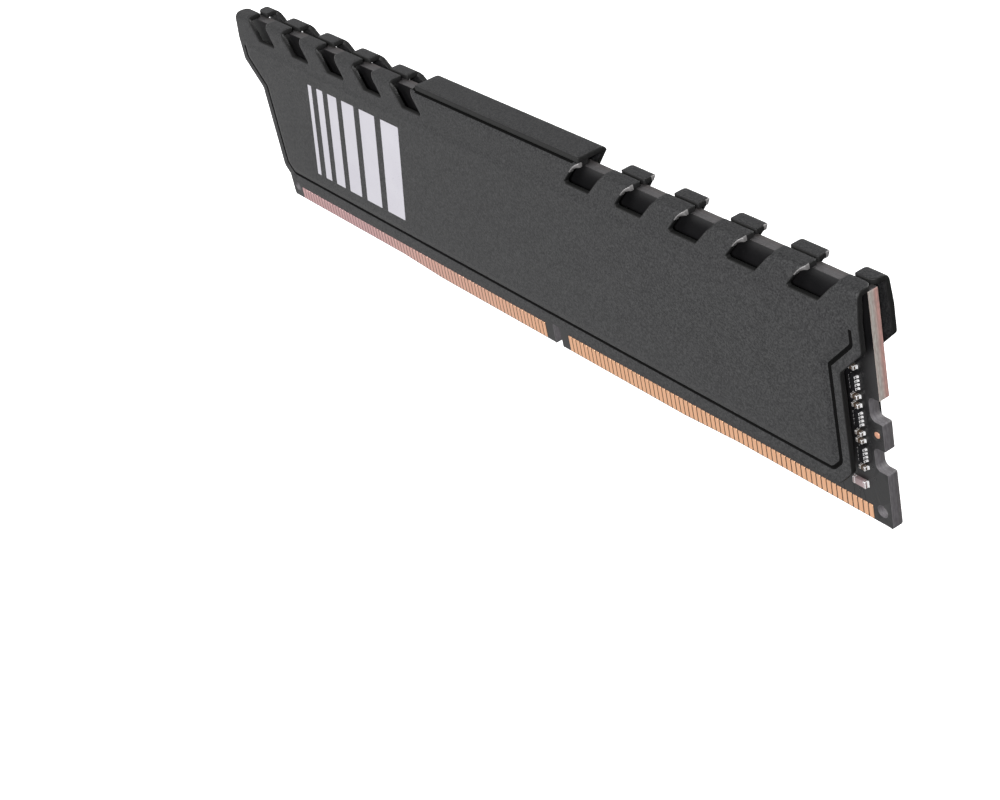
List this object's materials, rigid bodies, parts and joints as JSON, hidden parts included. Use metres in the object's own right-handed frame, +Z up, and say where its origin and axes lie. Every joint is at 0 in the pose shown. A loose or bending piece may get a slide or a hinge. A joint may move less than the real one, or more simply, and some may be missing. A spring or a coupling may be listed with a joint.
{
  "type": "ram module",
  "caption": "Desktop memory module: a gold-edged circuit board with memory chips between two folded black sheet-metal heat spreader halves with slanted openings along the top.",
  "frame": {"origin": "middle of the contact edge, on the board's middle plane, at the lowest point of the module", "axes": "+X along the module, -Y out of the front face, +Z up from the contacts"},
  "size_m": [0.134, 0.006, 0.0329],
  "materials": {
    "board": "satin solder mask",
    "gold": "gold plate",
    "spreader": "black matte coating",
    "chip": "matte",
    "pad": "matte",
    "resistor": "satin",
    "capacitor": "satin"
  },
  "bodies": {
    "root": {"back_capacitor_1": "capacitor", "back_capacitor_2": "capacitor", "back_contacts_left": "gold", "back_contacts_right": "gold", "back_heat_spreader": "spreader", "back_memory_chip_1": "chip", "back_memory_chip_2": "chip", "back_memory_chip_3": "chip", "back_memory_chip_4": "chip", "back_memory_chip_5": "chip", "back_memory_chip_6": "chip", "back_memory_chip_7": "chip", "back_memory_chip_8": "chip", "back_resistor_array_01": "resistor", "back_resistor_array_02": "resistor", "back_resistor_array_03": "resistor", "back_resistor_array_04": "resistor", "back_resistor_array_05": "resistor", "back_resistor_array_06": "resistor", "back_resistor_array_07": "resistor", "back_resistor_array_08": "resistor", "back_resistor_array_09": "resistor", "back_resistor_array_10": "resistor", "back_resistor_array_11": "resistor", "back_resistor_array_12": "resistor", "back_resistor_array_13": "resistor", "back_resistor_array_14": "resistor", "back_resistor_array_15": "resistor", "back_resistor_array_16": "resistor", "back_resistor_array_17": "resistor", "back_resistor_array_18": "resistor", "back_resistor_array_19": "resistor", "back_resistor_array_20": "resistor", "back_resistor_array_21": "resistor", "back_resistor_array_22": "resistor", "back_thermal_pad": "pad", "circuit_board": "board", "end_capacitor_1": "capacitor", "end_capacitor_2": "capacitor", "end_capacitor_3": "capacitor", "end_capacitor_4": "capacitor", "end_capacitor_5": "capacitor", "end_capacitor_6": "capacitor", "end_resistor": "resistor", "end_resistor_array_1": "resistor", "end_resistor_array_2": "resistor", "end_resistor_array_3": "resistor", "front_contacts_left": "gold", "front_contacts_right": "gold", "front_heat_spreader": "spreader", "front_memory_chip_1": "chip", "front_memory_chip_2": "chip", "front_memory_chip_3": "chip", "front_memory_chip_4": "chip", "front_memory_chip_5": "chip", "front_memory_chip_6": "chip", "front_memory_chip_7": "chip", "front_memory_chip_8": "chip", "front_thermal_pad": "pad", "spd_chip": "chip"}
  },
  "joints": []
}
